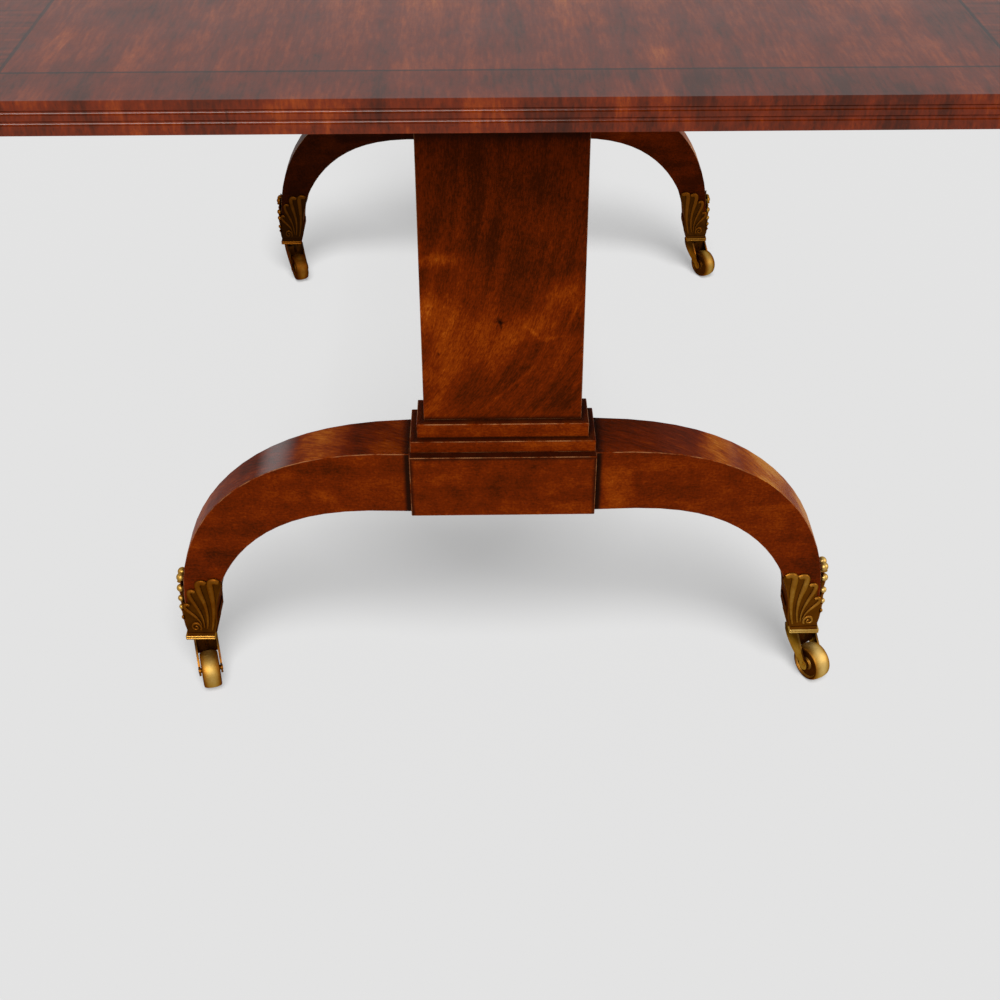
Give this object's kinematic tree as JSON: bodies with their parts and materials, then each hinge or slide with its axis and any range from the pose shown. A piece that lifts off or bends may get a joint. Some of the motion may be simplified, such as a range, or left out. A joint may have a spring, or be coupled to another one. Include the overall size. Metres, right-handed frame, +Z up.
{
  "type": "sofa table",
  "caption": "Sofa table with end flaps on swinging fly brackets, frieze drawers, slab columns on arched legs, and brass palmette cups with trailing castors.",
  "frame": {"origin": "on the floor, under the middle of the open top", "axes": "+X along the table, the working drawers face -Y, +Z up"},
  "size_m": [1.48, 0.66, 0.72],
  "materials": {
    "mahogany": "French-polished flame mahogany veneer, worn along the edges",
    "drawer_lining": "bare oak",
    "brass": "aged cast brass, bright on the high places",
    "steel": "plain drawn wire"
  },
  "bodies": {
    "table": {"top_board": "mahogany", "hinge_plates": "brass", "hinge_pins": "steel", "end_rail_left": "mahogany", "end_rail_right": "mahogany", "corner_posts": "mahogany", "back_rail": "mahogany", "top_rail": "mahogany", "bottom_rail": "mahogany", "partition": "mahogany", "runners": "drawer_lining", "dummy_front_left": "mahogany", "dummy_front_right": "mahogany", "dummy_beads": "mahogany", "dummy_knobs": "brass", "fly_block_left": "mahogany", "fly_block_right": "mahogany", "bracket_pins": "steel", "bearer_left": "mahogany", "bearer_right": "mahogany", "column_left": "mahogany", "column_right": "mahogany", "plinth_left": "mahogany", "plinth_right": "mahogany", "block_left": "mahogany", "block_right": "mahogany", "leg_left_front": "mahogany", "leg_left_back": "mahogany", "leg_right_front": "mahogany", "leg_right_back": "mahogany", "stretcher": "mahogany", "cups": "brass"},
    "flap_left": {"flap_left": "mahogany", "hinge_straps_left": "brass"},
    "flap_right": {"flap_right": "mahogany", "hinge_straps_right": "brass"},
    "drawer_left": {"drawer_front_left": "mahogany", "drawer_sides_left": "drawer_lining", "drawer_back_left": "drawer_lining", "drawer_bottom_left": "drawer_lining", "drawer_bead_left": "mahogany", "drawer_knobs_left": "brass"},
    "drawer_right": {"drawer_front_right": "mahogany", "drawer_sides_right": "drawer_lining", "drawer_back_right": "drawer_lining", "drawer_bottom_right": "drawer_lining", "drawer_bead_right": "mahogany", "drawer_knobs_right": "brass"},
    "fly_bracket_left_front": {"fly_bracket_left_front": "mahogany"},
    "fly_bracket_left_back": {"fly_bracket_left_back": "mahogany"},
    "fly_bracket_right_front": {"fly_bracket_right_front": "mahogany"},
    "fly_bracket_right_back": {"fly_bracket_right_back": "mahogany"},
    "swivel_left_front": {"swivel_left_front": "brass"},
    "swivel_left_back": {"swivel_left_back": "brass"},
    "swivel_right_front": {"swivel_right_front": "brass"},
    "swivel_right_back": {"swivel_right_back": "brass"},
    "wheel_left_front": {"wheel_left_front": "brass"},
    "wheel_left_back": {"wheel_left_back": "brass"},
    "wheel_right_front": {"wheel_right_front": "brass"},
    "wheel_right_back": {"wheel_right_back": "brass"}
  },
  "joints": [
    {"name": "flap_left_fold", "type": "hinge", "parent": "table", "child": "flap_left", "pos_m": [-0.5, 0, 0.7032], "axis": [0, 1, 0], "range_deg": [-90, 0]},
    {"name": "flap_right_fold", "type": "hinge", "parent": "table", "child": "flap_right", "pos_m": [0.5, 0, 0.7032], "axis": [0, -1, 0], "range_deg": [-90, 0]},
    {"name": "drawer_left_slide", "type": "slide", "parent": "table", "child": "drawer_left", "axis": [0, -1, 0], "range_m": [0, 0.38]},
    {"name": "drawer_right_slide", "type": "slide", "parent": "table", "child": "drawer_right", "axis": [0, -1, 0], "range_m": [0, 0.38]},
    {"name": "fly_bracket_left_front_swing", "type": "hinge", "parent": "table", "child": "fly_bracket_left_front", "pos_m": [-0.482, -0.074, 0.66], "axis": [0, 0, -1], "range_deg": [0, 90]},
    {"name": "fly_bracket_left_back_swing", "type": "hinge", "parent": "table", "child": "fly_bracket_left_back", "pos_m": [-0.482, 0.074, 0.66], "axis": [0, 0, 1], "range_deg": [0, 90]},
    {"name": "fly_bracket_right_front_swing", "type": "hinge", "parent": "table", "child": "fly_bracket_right_front", "pos_m": [0.482, -0.074, 0.66], "axis": [0, 0, 1], "range_deg": [0, 90]},
    {"name": "fly_bracket_right_back_swing", "type": "hinge", "parent": "table", "child": "fly_bracket_right_back", "pos_m": [0.482, 0.074, 0.66], "axis": [0, 0, -1], "range_deg": [0, 90]},
    {"name": "castor_left_front_swivel", "type": "hinge", "parent": "table", "child": "swivel_left_front", "pos_m": [-0.428, -0.3, 0.05], "axis": [0, 0, 1], "continuous": true},
    {"name": "castor_left_back_swivel", "type": "hinge", "parent": "table", "child": "swivel_left_back", "pos_m": [-0.428, 0.3, 0.05], "axis": [0, 0, 1], "continuous": true},
    {"name": "castor_right_front_swivel", "type": "hinge", "parent": "table", "child": "swivel_right_front", "pos_m": [0.428, -0.3, 0.05], "axis": [0, 0, 1], "continuous": true},
    {"name": "castor_right_back_swivel", "type": "hinge", "parent": "table", "child": "swivel_right_back", "pos_m": [0.428, 0.3, 0.05], "axis": [0, 0, 1], "continuous": true},
    {"name": "wheel_left_front_roll", "type": "hinge", "parent": "swivel_left_front", "child": "wheel_left_front", "pos_m": [-0.40482, -0.29063, 0.019], "axis": [-0.3746, 0.9272, 0], "continuous": true},
    {"name": "wheel_left_back_roll", "type": "hinge", "parent": "swivel_left_back", "child": "wheel_left_back", "pos_m": [-0.40657, 0.31288, 0.019], "axis": [-0.515, 0.8572, 0], "continuous": true},
    {"name": "wheel_right_front_roll", "type": "hinge", "parent": "swivel_right_front", "child": "wheel_right_front", "pos_m": [0.45226, -0.29395, 0.019], "axis": [-0.2419, 0.9703, 0], "continuous": true},
    {"name": "wheel_right_back_roll", "type": "hinge", "parent": "swivel_right_back", "child": "wheel_right_back", "pos_m": [0.44987, 0.31212, 0.019], "axis": [-0.4848, 0.8746, 0], "continuous": true}
  ]
}
